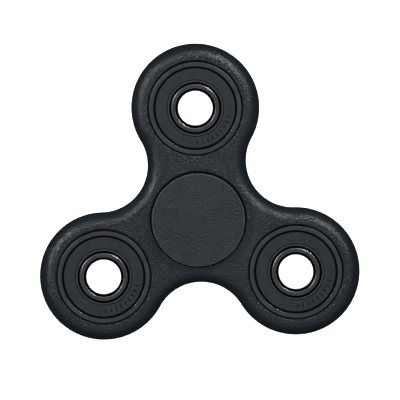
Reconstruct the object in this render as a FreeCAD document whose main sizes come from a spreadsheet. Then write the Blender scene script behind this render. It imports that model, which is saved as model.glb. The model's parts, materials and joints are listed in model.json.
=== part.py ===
import FreeCAD, Part
import math
import os

import Sketcher

# A hand spinner with three round lobes, in millimetres, built as it comes apart on a bench.
#
# +Z is the spin axis and z = 0 is the flat finger pad that the spinner rests on. One lobe points
# along +Y. Four equal ball bearings are pressed into the moulded body: the centre one carries the
# spin, and those in the lobes are its weights. The two finger caps plug into the centre bearing's
# inner ring and into each other, so they stand still while the body turns round them.

FOLDER = "parts"
SHEET = "Sizes"

# Driving dimensions: (alias, value, meaning).
SIZES = [
    ("bearing_bore", 8.0, "bore of a bearing's inner ring"),
    ("bearing_outer", 22.0, "outside diameter of a bearing"),
    ("bearing_width", 7.0, "width of a bearing, face to face"),
    ("ball_count", 7, "balls in a bearing"),
    ("race_ratio", 0.52, "radius of a raceway's cross-section, for a ball of diameter 1"),
    ("race_play", 0.01, "clearance between a ball and each raceway"),
    ("shoulder_height", 0.51, "height of a ring's shoulder over its raceway's floor"),
    ("bore_corner", 0.7, "bevel at the ends of the inner ring's bore"),
    ("ring_corner", 0.35, "rounding at the outer ring's outside corners"),
    ("land_corner", 0.25, "rounding at the inner ring's outside corners"),
    ("land_step", 0.3, "step from the inner ring's shoulder down to its seal land"),
    ("seal_depth", 1.0, "depth of the seat for a seal or shield, from the ring's face"),
    ("seal_ledge", 0.82, "width of the ledge that a seal or shield sits on"),
    ("mouth_bevel", 0.12, "bevel at the mouth of that seat"),
    ("snap_depth", 0.3, "undercut that holds a seal or shield in"),
    ("snap_height", 0.5, "height of that undercut"),
    ("snap_play", 0.03, "clearance of a seal, shield or clip in the undercut"),
    ("seal_sink", 0.25, "depth of the seal's face under the ring's face"),
    ("seal_rim", 0.5, "width of the low rim round the seal's face"),
    ("rim_drop", 0.42, "height of the seal's face over that rim"),
    ("lip_gap", 0.07, "clearance between a seal's lip and the seal land"),
    ("lip_lean", 0.4, "reach of the lip inward from the seal's visible inner edge"),
    ("bead_width", 0.32, "width of the bead round the seal's inner edge"),
    ("bead_height", 0.06, "height of that bead over the seal's face"),
    ("furrow_width", 0.2, "width of the furrow outside the bead"),
    ("furrow_depth", 0.12, "depth of that furrow"),
    ("core_thick", 0.25, "thickness of the steel washer bonded into a seal"),
    ("core_cover", 0.5, "rubber beyond the washer, at each edge of the seal"),
    ("tick_count", 9, "plain moulded ticks on a seal's face"),
    ("tick_span", 72.0, "angle from the first tick to the last"),
    ("tick_start", -88.0, "direction of the first tick"),
    ("tick_length", 0.95, "length of a tick, along the radius"),
    ("tick_width", 0.24, "width of a tick"),
    ("tick_depth", 0.16, "depth of a tick"),
    ("shield_thick", 0.25, "thickness of the centre bearing's sheet steel shields"),
    ("shield_rise", 0.35, "height of a shield's web over its rim"),
    ("shield_gap", 0.15, "clearance between a shield and the inner ring"),
    ("clip_gap", 28.0, "angle left open in a shield's spring clip"),
    ("cage_wall", 1.5, "thickness of the ball cage, along the radius"),
    ("cage_top", 1.2, "height of the cage's horns over the balls' centres"),
    ("cage_gap", 0.15, "clearance between the cage's back and the lower closure"),
    ("cage_back", 0.2855, "thickness of the cage behind a pocket"),
    ("pocket_play", 0.08, "clearance between a ball and its pocket"),
    ("horn_slot", 0.7, "gap between the horns of two pockets"),
    ("horn_depth", 1.0, "depth of that gap"),
    ("lobe_wall", 4.0, "plastic round a lobe's bearing seat"),
    ("waist_wall", 4.0, "plastic round the centre bearing's seat, between two lobes"),
    ("seat_web", 4.0, "plastic between the centre seat and a lobe's seat"),
    ("body_thick", 7.0, "thickness of the body"),
    ("edge_round", 3.0, "rounding along the body's outline"),
    ("seat_bevel", 0.4, "bevel at the mouth of a bearing seat"),
    ("seam_height", 0.05, "height of the mould seam round the body's side"),
    ("seam_width", 0.14, "width of that seam"),
    ("pad_size", 21.75, "diameter of a finger pad"),
    ("pad_thick", 2.4, "thickness of a finger pad"),
    ("pad_gap", 0.5, "clearance between a finger pad and what turns under it"),
    ("pad_round", 0.3, "rounding round a finger pad's face"),
    ("pad_break", 0.2, "rounding round a finger pad's underside"),
    ("boss_inset", 0.4, "distance of the cap's boss inside the seal land"),
    ("plug_gap", 0.3, "gap between the two caps' plugs, inside the bore"),
    ("plug_play", 0.02, "clearance between a plug and the bearing's bore"),
    ("plug_bevel", 0.4, "lead-in bevel of a plug"),
    ("peg_size", 4.0, "diameter of the upper cap's peg"),
    ("peg_reach", 2.6, "reach of the peg below the bearing's middle"),
    ("peg_bevel", 0.3, "lead-in bevel of the peg"),
    ("socket_room", 0.25, "room beyond the peg's tip in the lower cap's socket"),
    ("slit_width", 0.7, "width of the slits that let the lower plug spring"),
    ("slit_depth", 2.4, "depth of those slits"),
]


def cell(alias):
    """The name by which a formula calls a cell of the sheet."""
    return f"{SHEET}.{alias}"


# Formulas of the sheet's cells, in a bearing's own frame: its axis is Z and its middle is z = 0.
HALF_WIDTH = f"{cell('bearing_width')} / 2"
BORE_R = f"{cell('bearing_bore')} / 2"
OUTER_R = f"{cell('bearing_outer')} / 2"
LEDGE_Z = f"{HALF_WIDTH} - {cell('seal_depth')}"
SHOULDER_Z = f"{LEDGE_Z} - {cell('cage_gap')}"
BALL_R = f"({SHOULDER_Z} - {cell('cage_back')} - {cell('pocket_play')})"
RACE_ROUND = f"{cell('race_ratio')} * 2 * {BALL_R}"
PITCH_R = f"({cell('bearing_bore')} + {cell('bearing_outer')}) / 4"
INNER_FLOOR_R = f"{PITCH_R} - {BALL_R} - {cell('race_play')}"
OUTER_FLOOR_R = f"{PITCH_R} + {BALL_R} + {cell('race_play')}"
INNER_RACE_R = f"{INNER_FLOOR_R} + {RACE_ROUND}"
OUTER_RACE_R = f"{OUTER_FLOOR_R} - {RACE_ROUND}"
INNER_SHOULDER_R = f"{INNER_FLOOR_R} + {cell('shoulder_height')}"
OUTER_SHOULDER_R = f"{OUTER_FLOOR_R} - {cell('shoulder_height')}"
LAND_R = f"{INNER_SHOULDER_R} - {cell('land_step')}"
SEAT_R = f"{OUTER_SHOULDER_R} + {cell('seal_ledge')}"
SNAP_R = f"{SEAT_R} + {cell('snap_depth')}"
SNAP_Z = f"{LEDGE_Z} + {cell('snap_height')}"

# The rubber seal and the steel washer in it.
SEAL_EDGE_R = f"{SNAP_R} - {cell('snap_play')}"
SEAL_FACE_Z = f"{HALF_WIDTH} - {cell('seal_sink')}"
SEAL_RIM_Z = f"{SEAL_FACE_Z} - {cell('rim_drop')}"
SEAL_FACE_R = f"{SEAT_R} - {cell('seal_rim')}"
LIP_R = f"{LAND_R} + {cell('lip_gap')}"
BEAD_IN_R = f"{LIP_R} + {cell('lip_lean')}"
BEAD_OUT_R = f"{BEAD_IN_R} + {cell('bead_width')}"
BEAD_Z = f"{SEAL_FACE_Z} + {cell('bead_height')}"
FURROW_OUT_R = f"{BEAD_OUT_R} + {cell('furrow_width')}"
FURROW_Z = f"{SEAL_FACE_Z} - {cell('furrow_depth')}"
CORE_IN_R = f"{BEAD_IN_R} + {cell('core_cover')}"
CORE_OUT_R = f"{SEAT_R} - {cell('core_cover')}"
CORE_TOP_Z = f"{LEDGE_Z} + {cell('core_thick')}"
TICK_IN_R = f"({FURROW_OUT_R} + {SEAL_FACE_R} - {cell('tick_length')}) / 2"

# The centre bearing's shield and the spring clip over it.
SHIELD_RIM_Z = f"{LEDGE_Z} + {cell('shield_thick')}"
SHIELD_IN_R = f"{LAND_R} + {cell('shield_gap')}"
SHIELD_BEND_R = f"{SEAT_R} - {cell('seal_rim')}"
CLIP_WIRE_R = f"({cell('snap_height')} - {cell('shield_thick')} - {cell('snap_play')}) / 2"
CLIP_R = f"{SNAP_R} - {cell('snap_play')} - {CLIP_WIRE_R}"
CLIP_Z = f"{SHIELD_RIM_Z} + {CLIP_WIRE_R}"

# The ball cage.
CAGE_IN_R = f"{PITCH_R} - {cell('cage_wall')} / 2"
CAGE_OUT_R = f"{PITCH_R} + {cell('cage_wall')} / 2"
CAGE_BACK_Z = f"{cell('cage_gap')} - ({LEDGE_Z})"
HALF_PITCH = f"180 deg / {cell('ball_count')}"

# The body. A neck is an arc that touches two lobes, and the waist is where it comes nearest the
# spin axis.
LOBE_R = f"({OUTER_R} + {cell('lobe_wall')})"
WAIST_R = f"({OUTER_R} + {cell('waist_wall')})"
ARM_REACH = f"({cell('bearing_outer')} + {cell('seat_web')})"
FLARE = f"({LOBE_R} - {WAIST_R})"
NECK_REACH = f"(({ARM_REACH} ^ 2 - {FLARE} ^ 2) / ({ARM_REACH} + 2 * {FLARE}))"
NECK_R = f"({NECK_REACH} - {WAIST_R})"

# The caps, and the height of the bearings' middle over the lower pad's face.
PAD_UNDER_Z = f"(max({cell('bearing_width')}; {cell('body_thick')}) / 2 + {cell('pad_gap')})"
PAD_FACE_Z = f"({PAD_UNDER_Z} + {cell('pad_thick')})"
PAD_R = f"{cell('pad_size')} / 2"
BOSS_R = f"{LAND_R} - {cell('boss_inset')}"
PLUG_TIP_Z = f"{cell('plug_gap')} / 2"
PLUG_R = f"({BORE_R} - {cell('plug_play')})"
PEG_R = f"{cell('peg_size')} / 2"

ARM_ANGLES = {"arm_1": 90, "arm_2": 210, "arm_3": 330}
NECK_ANGLES = [150, 270, 30]
CENTRE = "centre"


def make_sheet(doc):
    """Adds the spreadsheet of driving dimensions."""
    sheet = doc.addObject("Spreadsheet::Sheet", SHEET)
    for row, (alias, value, meaning) in enumerate(SIZES, start=1):
        sheet.set(f"A{row}", meaning)
        sheet.set(f"B{row}", str(value))
        sheet.setAlias(f"B{row}", alias)
    doc.recompute()
    return sheet


def value_of(owner, formula):
    """The present value of a formula, as a plain number."""
    found = owner.evalExpression(formula)
    return float(getattr(found, "Value", found))


def origin_part(body, role):
    """One of a body's own origin planes or axes, by its role."""
    return next(part for part in body.Origin.OriginFeatures if part.Role == role)


def new_body(doc, label):
    """An empty PartDesign body whose label is the sub-part's name."""
    body = doc.addObject("PartDesign::Body", label)
    body.Label = label
    return body


def new_sketch(body, name, role="XZ_Plane"):
    """A sketch on one of the body's origin planes. On XZ, x is the radius and y is the height."""
    sketch = body.newObject("Sketcher::SketchObject", name)
    sketch.AttachmentSupport = [(origin_part(body, role), "")]
    sketch.MapMode = "FlatFace"
    return sketch


def bind(sketch, constraint, name, formula):
    """Adds a dimension to a sketch, and binds it to a formula of the sheet."""
    index = sketch.addConstraint(constraint)
    sketch.renameConstraint(index, name)
    sketch.setExpression(f"Constraints.{name}", formula)


def closed_outline(sketch, corners):
    """Draws straight lines through corners, each (x formula, y formula), and closes them.

    An x formula of None puts the corner on the sketch's vertical axis.
    """
    points = []
    for x_formula, y_formula in corners:
        x = value_of(sketch, x_formula) if x_formula else 0.0
        points.append(FreeCAD.Vector(x, value_of(sketch, y_formula), 0))
    count = len(points)
    lines = [Part.LineSegment(points[i], points[(i + 1) % count]) for i in range(count)]
    sketch.addGeometry(lines, False)
    for i in range(count):
        sketch.addConstraint(Sketcher.Constraint("Coincident", i, 2, (i + 1) % count, 1))
    for i, (x_formula, y_formula) in enumerate(corners):
        if x_formula:
            across = Sketcher.Constraint("DistanceX", -1, 1, i, 1, points[i].x)
            bind(sketch, across, f"x{i}", x_formula)
        else:
            sketch.addConstraint(Sketcher.Constraint("PointOnObject", i, 1, -2))
        up = Sketcher.Constraint("DistanceY", -1, 1, i, 1, points[i].y)
        bind(sketch, up, f"y{i}", y_formula)


def circle(sketch, radius_formula, x_formula=None, y_formula=None):
    """Draws a circle. A missing x or y formula puts its centre on that axis."""
    radius = value_of(sketch, radius_formula)
    x = value_of(sketch, x_formula) if x_formula else 0.0
    y = value_of(sketch, y_formula) if y_formula else 0.0
    middle = FreeCAD.Vector(x, y, 0)
    index = sketch.addGeometry(Part.Circle(middle, FreeCAD.Vector(0, 0, 1), radius), False)
    bind(sketch, Sketcher.Constraint("Radius", index, radius), "radius", radius_formula)
    if x_formula:
        bind(sketch, Sketcher.Constraint("DistanceX", -1, 1, index, 3, x), "across", x_formula)
    else:
        sketch.addConstraint(Sketcher.Constraint("PointOnObject", index, 3, -2))
    if y_formula:
        bind(sketch, Sketcher.Constraint("DistanceY", -1, 1, index, 3, y), "up", y_formula)
    else:
        sketch.addConstraint(Sketcher.Constraint("PointOnObject", index, 3, -1))


def turned(body, corners, name="profile"):
    """Revolves a closed outline round the body's Z axis."""
    sketch = new_sketch(body, f"{name}_sketch")
    closed_outline(sketch, corners)
    feature = body.newObject("PartDesign::Revolution", name)
    feature.Profile = sketch
    feature.ReferenceAxis = (sketch, ["V_Axis"])
    feature.Angle = 360
    body.Document.recompute()
    return feature


def raceway(body, race_formula):
    """Cuts a round-bottomed raceway at the body's mid-height."""
    sketch = new_sketch(body, "raceway_sketch")
    circle(sketch, RACE_ROUND, x_formula=race_formula)
    groove = body.newObject("PartDesign::Groove", "raceway")
    groove.Profile = sketch
    groove.ReferenceAxis = (sketch, ["V_Axis"])
    groove.Angle = 360
    body.Document.recompute()
    return groove


def round_edges(shape, radius, heights):
    """Names of a shape's full circles of this radius at any of these heights."""
    names = []
    for number, edge in enumerate(shape.Edges, start=1):
        curve = edge.Curve
        if not isinstance(curve, Part.Circle) or abs(curve.Radius - radius) > 1e-4:
            continue
        if any(abs(curve.Center.z - height) < 1e-4 for height in heights):
            names.append(f"Edge{number}")
    return names


def finish_edges(body, kind, name, size_formula, edges):
    """Adds a Fillet or Chamfer of a bound size along named edges of the body's tip."""
    base = body.Tip
    feature = body.newObject(f"PartDesign::{kind}", name)
    feature.Base = (base, edges)
    feature.setExpression("Radius" if kind == "Fillet" else "Size", size_formula)
    body.Document.recompute()
    return feature


def polar(body, name, originals, count_formula, span_formula="360 deg"):
    """Repeats features round the body's Z axis."""
    pattern = body.newObject("PartDesign::PolarPattern", name)
    pattern.Originals = originals
    pattern.Axis = (origin_part(body, "Z_Axis"), [""])
    pattern.setExpression("Angle", span_formula)
    pattern.setExpression("Occurrences", count_formula)
    body.Tip = pattern
    body.Document.recompute()
    return pattern


def solid_at(body, kind, name, sizes, place):
    """Adds a PartDesign primitive with bound sizes, placed from the body's XY plane."""
    feature = body.newObject(f"PartDesign::{kind}", name)
    feature.AttachmentSupport = [(origin_part(body, "XY_Plane"), "")]
    feature.MapMode = "FlatFace"
    for attribute, formula in sizes.items():
        feature.setExpression(attribute, formula)
    for axis, formula in place.items():
        feature.setExpression(f".AttachmentOffset.Base.{axis}", formula)
    body.Document.recompute()
    return feature


def put(thing, station, flipped=False, turn_formula=None):
    """Places a sub-part at a bearing's middle: at the centre, or at one of the arms.

    A flipped sub-part is turned over about the X axis, and is seen from below as it was from above.
    """
    middle = f"{PAD_FACE_Z}"
    turn = value_of(thing, turn_formula) if turn_formula else 0.0
    rotation = FreeCAD.Rotation(FreeCAD.Vector(0, 0, 1), turn)
    if flipped:
        rotation = FreeCAD.Rotation(FreeCAD.Vector(1, 0, 0), 180).multiply(rotation)
    thing.Placement = FreeCAD.Placement(FreeCAD.Vector(0, 0, 0), rotation)
    if station != CENTRE:
        angle = ARM_ANGLES[station]
        thing.setExpression(".Placement.Base.x", f"{ARM_REACH} * cos({angle} deg)")
        thing.setExpression(".Placement.Base.y", f"{ARM_REACH} * sin({angle} deg)")
    thing.setExpression(".Placement.Base.z", middle)


def make_outer_ring(doc, station):
    """A bearing's outer ring, with a seat at each face for a seal or shield."""
    body = new_body(doc, f"{station}_outer_ring")
    upper = [
        (OUTER_SHOULDER_R, LEDGE_Z),
        (SNAP_R, LEDGE_Z),
        (SNAP_R, SNAP_Z),
        (SEAT_R, SNAP_Z),
        (SEAT_R, f"{HALF_WIDTH} - {cell('mouth_bevel')}"),
        (f"{SEAT_R} + {cell('mouth_bevel')}", HALF_WIDTH),
        (OUTER_R, HALF_WIDTH),
    ]
    lower = [(radius, f"-({height})") for radius, height in reversed(upper)]
    ring = turned(body, upper + lower)
    half = value_of(body, HALF_WIDTH)
    corners = round_edges(ring.Shape, value_of(body, OUTER_R), (half, -half))
    finish_edges(body, "Fillet", "corners", cell("ring_corner"), corners)
    raceway(body, OUTER_RACE_R)
    put(body, station)
    return body


def make_inner_ring(doc, station):
    """A bearing's inner ring, with a stepped land at each end for the seal's lip."""
    body = new_body(doc, f"{station}_inner_ring")
    upper = [
        (INNER_SHOULDER_R, SHOULDER_Z),
        (LAND_R, SHOULDER_Z),
        (LAND_R, HALF_WIDTH),
        (BORE_R, HALF_WIDTH),
    ]
    lower = [(radius, f"-({height})") for radius, height in reversed(upper)]
    ring = turned(body, upper + lower)
    half = value_of(body, HALF_WIDTH)
    bore_ends = round_edges(ring.Shape, value_of(body, BORE_R), (half, -half))
    bored = finish_edges(body, "Chamfer", "bore_bevels", cell("bore_corner"), bore_ends)
    land_ends = round_edges(bored.Shape, value_of(body, LAND_R), (half, -half))
    finish_edges(body, "Fillet", "land_corners", cell("land_corner"), land_ends)
    raceway(body, INNER_RACE_R)
    put(body, station)
    return body


def make_cage(doc, station):
    """A one-piece crown cage: a band with round pockets that the balls snap into from above."""
    body = new_body(doc, f"{station}_cage")
    turned(
        body,
        [
            (CAGE_IN_R, CAGE_BACK_Z),
            (CAGE_OUT_R, CAGE_BACK_Z),
            (CAGE_OUT_R, cell("cage_top")),
            (CAGE_IN_R, cell("cage_top")),
        ],
        "band",
    )
    pocket = solid_at(
        body,
        "SubtractiveSphere",
        "pocket",
        {"Radius": f"{BALL_R} + {cell('pocket_play')}"},
        {"x": f"{PITCH_R} * cos({HALF_PITCH})", "y": f"{PITCH_R} * sin({HALF_PITCH})"},
    )
    slot = solid_at(
        body,
        "SubtractiveBox",
        "horn_gap",
        {
            "Length": f"2 * {cell('cage_wall')}",
            "Width": cell("horn_slot"),
            "Height": f"2 * {cell('horn_depth')}",
        },
        {
            "x": f"{PITCH_R} - {cell('cage_wall')}",
            "y": f"-{cell('horn_slot')} / 2",
            "z": f"{cell('cage_top')} - {cell('horn_depth')}",
        },
    )
    polar(body, "pockets", [pocket, slot], cell("ball_count"))
    put(body, station)
    return body


def make_balls(doc, station):
    """A bearing's balls, as separate solids in one sub-part."""
    body = new_body(doc, f"{station}_balls")
    body.AllowCompound = True
    ball = solid_at(
        body,
        "AdditiveSphere",
        "ball",
        {"Radius": BALL_R},
        {"x": f"{PITCH_R} * cos({HALF_PITCH})", "y": f"{PITCH_R} * sin({HALF_PITCH})"},
    )
    polar(body, "balls", [ball], cell("ball_count"))
    put(body, station)
    return body


def make_seal(doc, station, side):
    """A moulded rubber seal with a snap rim, an inner bead and lip, and a row of plain ticks."""
    body = new_body(doc, f"{station}_{side}_seal")
    turned(
        body,
        [
            (SEAL_EDGE_R, LEDGE_Z),
            (SEAL_EDGE_R, SEAL_RIM_Z),
            (f"{SEAL_FACE_R} + {cell('mouth_bevel')}", SEAL_RIM_Z),
            (SEAL_FACE_R, SEAL_FACE_Z),
            (FURROW_OUT_R, SEAL_FACE_Z),
            (f"{FURROW_OUT_R} - {cell('bead_height')}", FURROW_Z),
            (f"{BEAD_OUT_R} + {cell('bead_height')}", FURROW_Z),
            (BEAD_OUT_R, BEAD_Z),
            (BEAD_IN_R, BEAD_Z),
            (LIP_R, CORE_TOP_Z),
            (LIP_R, LEDGE_Z),
            (CORE_IN_R, LEDGE_Z),
            (CORE_IN_R, CORE_TOP_Z),
            (CORE_OUT_R, CORE_TOP_Z),
            (CORE_OUT_R, LEDGE_Z),
        ],
    )
    tick = solid_at(
        body,
        "SubtractiveBox",
        "tick",
        {
            "Length": cell("tick_length"),
            "Width": cell("tick_width"),
            "Height": f"2 * {cell('tick_depth')}",
        },
        {
            "x": TICK_IN_R,
            "y": f"-{cell('tick_width')} / 2",
            "z": f"{SEAL_FACE_Z} - {cell('tick_depth')}",
        },
    )
    polar(body, "ticks", [tick], cell("tick_count"), f"{cell('tick_span')} * 1 deg")
    put(body, station, side == "lower", cell("tick_start"))
    return body


def make_seal_core(doc, station, side):
    """The flat steel washer that stiffens a rubber seal, bare on its inner face."""
    body = new_body(doc, f"{station}_{side}_seal_core")
    turned(
        body,
        [
            (CORE_IN_R, LEDGE_Z),
            (CORE_OUT_R, LEDGE_Z),
            (CORE_OUT_R, CORE_TOP_Z),
            (CORE_IN_R, CORE_TOP_Z),
        ],
    )
    put(body, station, side == "lower")
    return body


def make_shield(doc, side):
    """A pressed steel shield of the centre bearing, which stays clear of the inner ring."""
    body = new_body(doc, f"{CENTRE}_{side}_shield")
    rise = cell("shield_rise")
    turned(
        body,
        [
            (SEAL_EDGE_R, LEDGE_Z),
            (SEAL_EDGE_R, SHIELD_RIM_Z),
            (SHIELD_BEND_R, SHIELD_RIM_Z),
            (f"{SHIELD_BEND_R} - {rise}", f"{SHIELD_RIM_Z} + {rise}"),
            (SHIELD_IN_R, f"{SHIELD_RIM_Z} + {rise}"),
            (SHIELD_IN_R, f"{LEDGE_Z} + {rise}"),
            (f"{SHIELD_BEND_R} - {rise} - {cell('shield_thick')} / 2", f"{LEDGE_Z} + {rise}"),
            (f"{SHIELD_BEND_R} - {cell('shield_thick')} / 2", LEDGE_Z),
        ],
    )
    put(body, CENTRE, side == "lower")
    return body


def make_shield_clip(doc, side):
    """The open ring of spring wire that holds a shield in its undercut."""
    label = f"{CENTRE}_{side}_shield_clip"
    wire = doc.addObject("Part::Torus", f"{label}_wire")
    wire.setExpression("Radius1", CLIP_R)
    wire.setExpression("Radius2", CLIP_WIRE_R)
    wire.setExpression("Angle3", f"(360 - {cell('clip_gap')}) * 1 deg")
    wire.setExpression(".Placement.Base.z", CLIP_Z)
    clip = doc.addObject("Part::Compound", label)
    clip.Label = label
    clip.Links = [wire]
    put(clip, CENTRE, side == "lower")
    return clip


def outline_sketch(body, name, grow_formula):
    """Draws the body's outline, three lobes joined by three necks, grown by a formula."""
    sketch = new_sketch(body, name, "XY_Plane")
    lobe_r = f"{LOBE_R} + {grow_formula}"
    neck_r = f"{NECK_R} - {grow_formula}"
    big, small = value_of(sketch, lobe_r), value_of(sketch, neck_r)
    reach, neck_reach = value_of(sketch, ARM_REACH), value_of(sketch, NECK_REACH)
    normal = FreeCAD.Vector(0, 0, 1)

    def polar_point(distance, angle):
        turn = math.radians(angle)
        return FreeCAD.Vector(distance * math.cos(turn), distance * math.sin(turn), 0)

    def touching(lobe_angle, neck_angle):
        lobe, neck = polar_point(reach, lobe_angle), polar_point(neck_reach, neck_angle)
        return lobe + (neck - lobe) * (big / (big + small))

    def angle_at(middle, point):
        return math.atan2(point.y - middle.y, point.x - middle.x)

    lobes = list(ARM_ANGLES.values())
    for lobe, before, after in zip(lobes, (30, 150, 270), (150, 270, 30)):
        middle = polar_point(reach, lobe)
        start, end = angle_at(middle, touching(lobe, before)), angle_at(middle, touching(lobe, after))
        end += 2 * math.pi if end < start else 0
        arc = Part.ArcOfCircle(Part.Circle(middle, normal, big), start, end)
        sketch.addGeometry(arc, False)
    for neck, before, after in zip(NECK_ANGLES, (90, 210, 330), (210, 330, 90)):
        middle = polar_point(neck_reach, neck)
        start, end = angle_at(middle, touching(after, neck)), angle_at(middle, touching(before, neck))
        end += 2 * math.pi if end < start else 0
        arc = Part.ArcOfCircle(Part.Circle(middle, normal, small), start, end)
        sketch.addGeometry(arc, False)

    for i in range(3):
        lobe, neck, next_lobe = i, 3 + i, (i + 1) % 3
        sketch.addConstraint(Sketcher.Constraint("Tangent", lobe, 2, neck, 2))
        sketch.addConstraint(Sketcher.Constraint("Tangent", neck, 1, next_lobe, 1))
    for i, angle in enumerate(lobes):
        middle = polar_point(reach, angle)
        if abs(middle.x) < 1e-6:
            sketch.addConstraint(Sketcher.Constraint("PointOnObject", i, 3, -2))
        else:
            across = Sketcher.Constraint("DistanceX", -1, 1, i, 3, middle.x)
            bind(sketch, across, f"lobe_x{i}", f"{ARM_REACH} * cos({angle} deg)")
        up = Sketcher.Constraint("DistanceY", -1, 1, i, 3, middle.y)
        bind(sketch, up, f"lobe_y{i}", f"{ARM_REACH} * sin({angle} deg)")
        bind(sketch, Sketcher.Constraint("Radius", i, big), f"lobe_r{i}", lobe_r)
        bind(sketch, Sketcher.Constraint("Radius", 3 + i, small), f"neck_r{i}", neck_r)
    return sketch


def make_spinner_body(doc):
    """The moulded body: three lobes with rounded edges, a mould seam and four bearing seats."""
    body = new_body(doc, "spinner_body")
    slab = body.newObject("PartDesign::Pad", "slab")
    slab.Profile = outline_sketch(body, "outline", "0")
    slab.Midplane = True
    slab.setExpression("Length", cell("body_thick"))
    doc.recompute()
    half = value_of(body, cell("body_thick")) / 2
    rims = [
        f"Edge{number}"
        for number, edge in enumerate(slab.Shape.Edges, start=1)
        if abs(abs(edge.CenterOfMass.z) - half) < 1e-4
    ]
    finish_edges(body, "Fillet", "rounded_edges", cell("edge_round"), rims)

    seam = body.newObject("PartDesign::Pad", "seam")
    seam.Profile = outline_sketch(body, "seam_outline", cell("seam_height"))
    seam.Midplane = True
    seam.setExpression("Length", cell("seam_width"))
    doc.recompute()

    centre_sketch = new_sketch(body, "centre_seat_sketch", "XY_Plane")
    circle(centre_sketch, OUTER_R)
    centre_seat = body.newObject("PartDesign::Pocket", "centre_seat")
    centre_seat.Profile = centre_sketch
    centre_seat.Type = "ThroughAll"
    centre_seat.Midplane = True
    doc.recompute()

    arm_sketch = new_sketch(body, "arm_seat_sketch", "XY_Plane")
    circle(arm_sketch, OUTER_R, y_formula=ARM_REACH)
    arm_seat = body.newObject("PartDesign::Pocket", "arm_seat")
    arm_seat.Profile = arm_sketch
    arm_seat.Type = "ThroughAll"
    arm_seat.Midplane = True
    doc.recompute()
    seats = polar(body, "arm_seats", [arm_seat], str(len(ARM_ANGLES)))

    mouths = round_edges(seats.Shape, value_of(body, OUTER_R), (half, -half))
    finish_edges(body, "Chamfer", "seat_bevels", cell("seat_bevel"), mouths)
    put(body, CENTRE)
    return body


def cap_profile(inside):
    """A cap's half outline from its face down to its plug, closed by the corners inside."""
    return [
        (None, PAD_FACE_Z),
        (PAD_R, PAD_FACE_Z),
        (PAD_R, PAD_UNDER_Z),
        (BOSS_R, PAD_UNDER_Z),
        (BOSS_R, HALF_WIDTH),
        (PLUG_R, HALF_WIDTH),
        (PLUG_R, f"{PLUG_TIP_Z} + {cell('plug_bevel')}"),
        (f"{PLUG_R} - {cell('plug_bevel')}", PLUG_TIP_Z),
    ] + inside


def round_pad(body, cap):
    """Rounds a finger pad's face and underside."""
    radius = value_of(body, PAD_R)
    face = round_edges(cap.Shape, radius, (value_of(body, PAD_FACE_Z),))
    rounded = finish_edges(body, "Fillet", "face_rounding", cell("pad_round"), face)
    under = round_edges(rounded.Shape, radius, (value_of(body, PAD_UNDER_Z),))
    finish_edges(body, "Fillet", "underside_rounding", cell("pad_break"), under)


def make_upper_cap(doc):
    """The upper finger cap: a flat pad, a plug for the bearing's bore and a peg."""
    body = new_body(doc, "upper_cap")
    cap = turned(
        body,
        cap_profile(
            [
                (PEG_R, PLUG_TIP_Z),
                (PEG_R, f"{cell('peg_bevel')} - {cell('peg_reach')}"),
                (f"{PEG_R} - {cell('peg_bevel')}", f"-{cell('peg_reach')}"),
                (None, f"-{cell('peg_reach')}"),
            ]
        ),
    )
    round_pad(body, cap)
    put(body, CENTRE)
    return body


def make_lower_cap(doc):
    """The lower finger cap: a flat pad and a slit plug with a socket for the peg."""
    body = new_body(doc, "lower_cap")
    cap = turned(
        body,
        cap_profile(
            [
                (PEG_R, PLUG_TIP_Z),
                (PEG_R, f"{cell('peg_reach')} + {cell('socket_room')}"),
                (None, f"{cell('peg_reach')} + {cell('socket_room')}"),
            ]
        ),
    )
    round_pad(body, cap)
    slit = solid_at(
        body,
        "SubtractiveBox",
        "slit",
        {
            "Length": cell("bearing_bore"),
            "Width": cell("slit_width"),
            "Height": f"{cell('slit_depth')} + {PLUG_TIP_Z}",
        },
        {"x": f"-{BORE_R}", "y": f"-{cell('slit_width')} / 2", "z": "0"},
    )
    polar(body, "slits", [slit], "2", "90 deg")
    put(body, CENTRE, flipped=True)
    return body


def make_bearing(doc, station):
    """Every piece of one bearing. Rubber seals close the lobes' bearings, shields the centre's."""
    pieces = [
        make_outer_ring(doc, station),
        make_inner_ring(doc, station),
        make_cage(doc, station),
        make_balls(doc, station),
    ]
    for side in ("upper", "lower"):
        if station == CENTRE:
            pieces += [make_shield(doc, side), make_shield_clip(doc, side)]
        else:
            pieces += [make_seal(doc, station, side), make_seal_core(doc, station, side)]
    return pieces


def check(doc, pieces):
    """Stops if an object failed to compute, or a sub-part's shape isn't sound."""
    broken = [o.Name for o in doc.Objects if "Invalid" in o.State or "Error" in o.State]
    if broken:
        raise RuntimeError(f"objects failed to compute: {broken}")
    for piece in pieces:
        if piece.Shape.isNull() or not piece.Shape.isValid() or piece.Shape.Volume <= 0:
            raise RuntimeError(f"{piece.Label} has no sound shape")


def main():
    """Builds the document and writes one STEP file for each sub-part."""
    doc = FreeCAD.newDocument("hand_spinner")
    make_sheet(doc)
    pieces = [make_spinner_body(doc), make_upper_cap(doc), make_lower_cap(doc)]
    for station in (CENTRE, *ARM_ANGLES):
        pieces += make_bearing(doc, station)
    doc.recompute()
    check(doc, pieces)
    os.makedirs(FOLDER, exist_ok=True)
    for piece in pieces:
        piece.Shape.exportStep(os.path.join(FOLDER, f"{piece.Label}.step"))
        print(f"{piece.Label}: {len(piece.Shape.Solids)} solid(s), {piece.Shape.Volume:.2f} mm3")


main()
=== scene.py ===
"""The looks of a hand spinner: moulded body, finger caps and four ball bearings, in metres.

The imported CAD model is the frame. The pieces that show are built again here with rounded edges and
even faces, in the places that the frame gives, and the pieces inside the bearings keep their CAD shape.
"""

from __future__ import annotations

import json
import logging
import math
from dataclasses import dataclass
from enum import Enum
from typing import Callable, Iterable, Sequence

import bmesh
import bpy
from mathutils import Matrix, Vector
from mathutils.geometry import delaunay_2d_cdt


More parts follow.
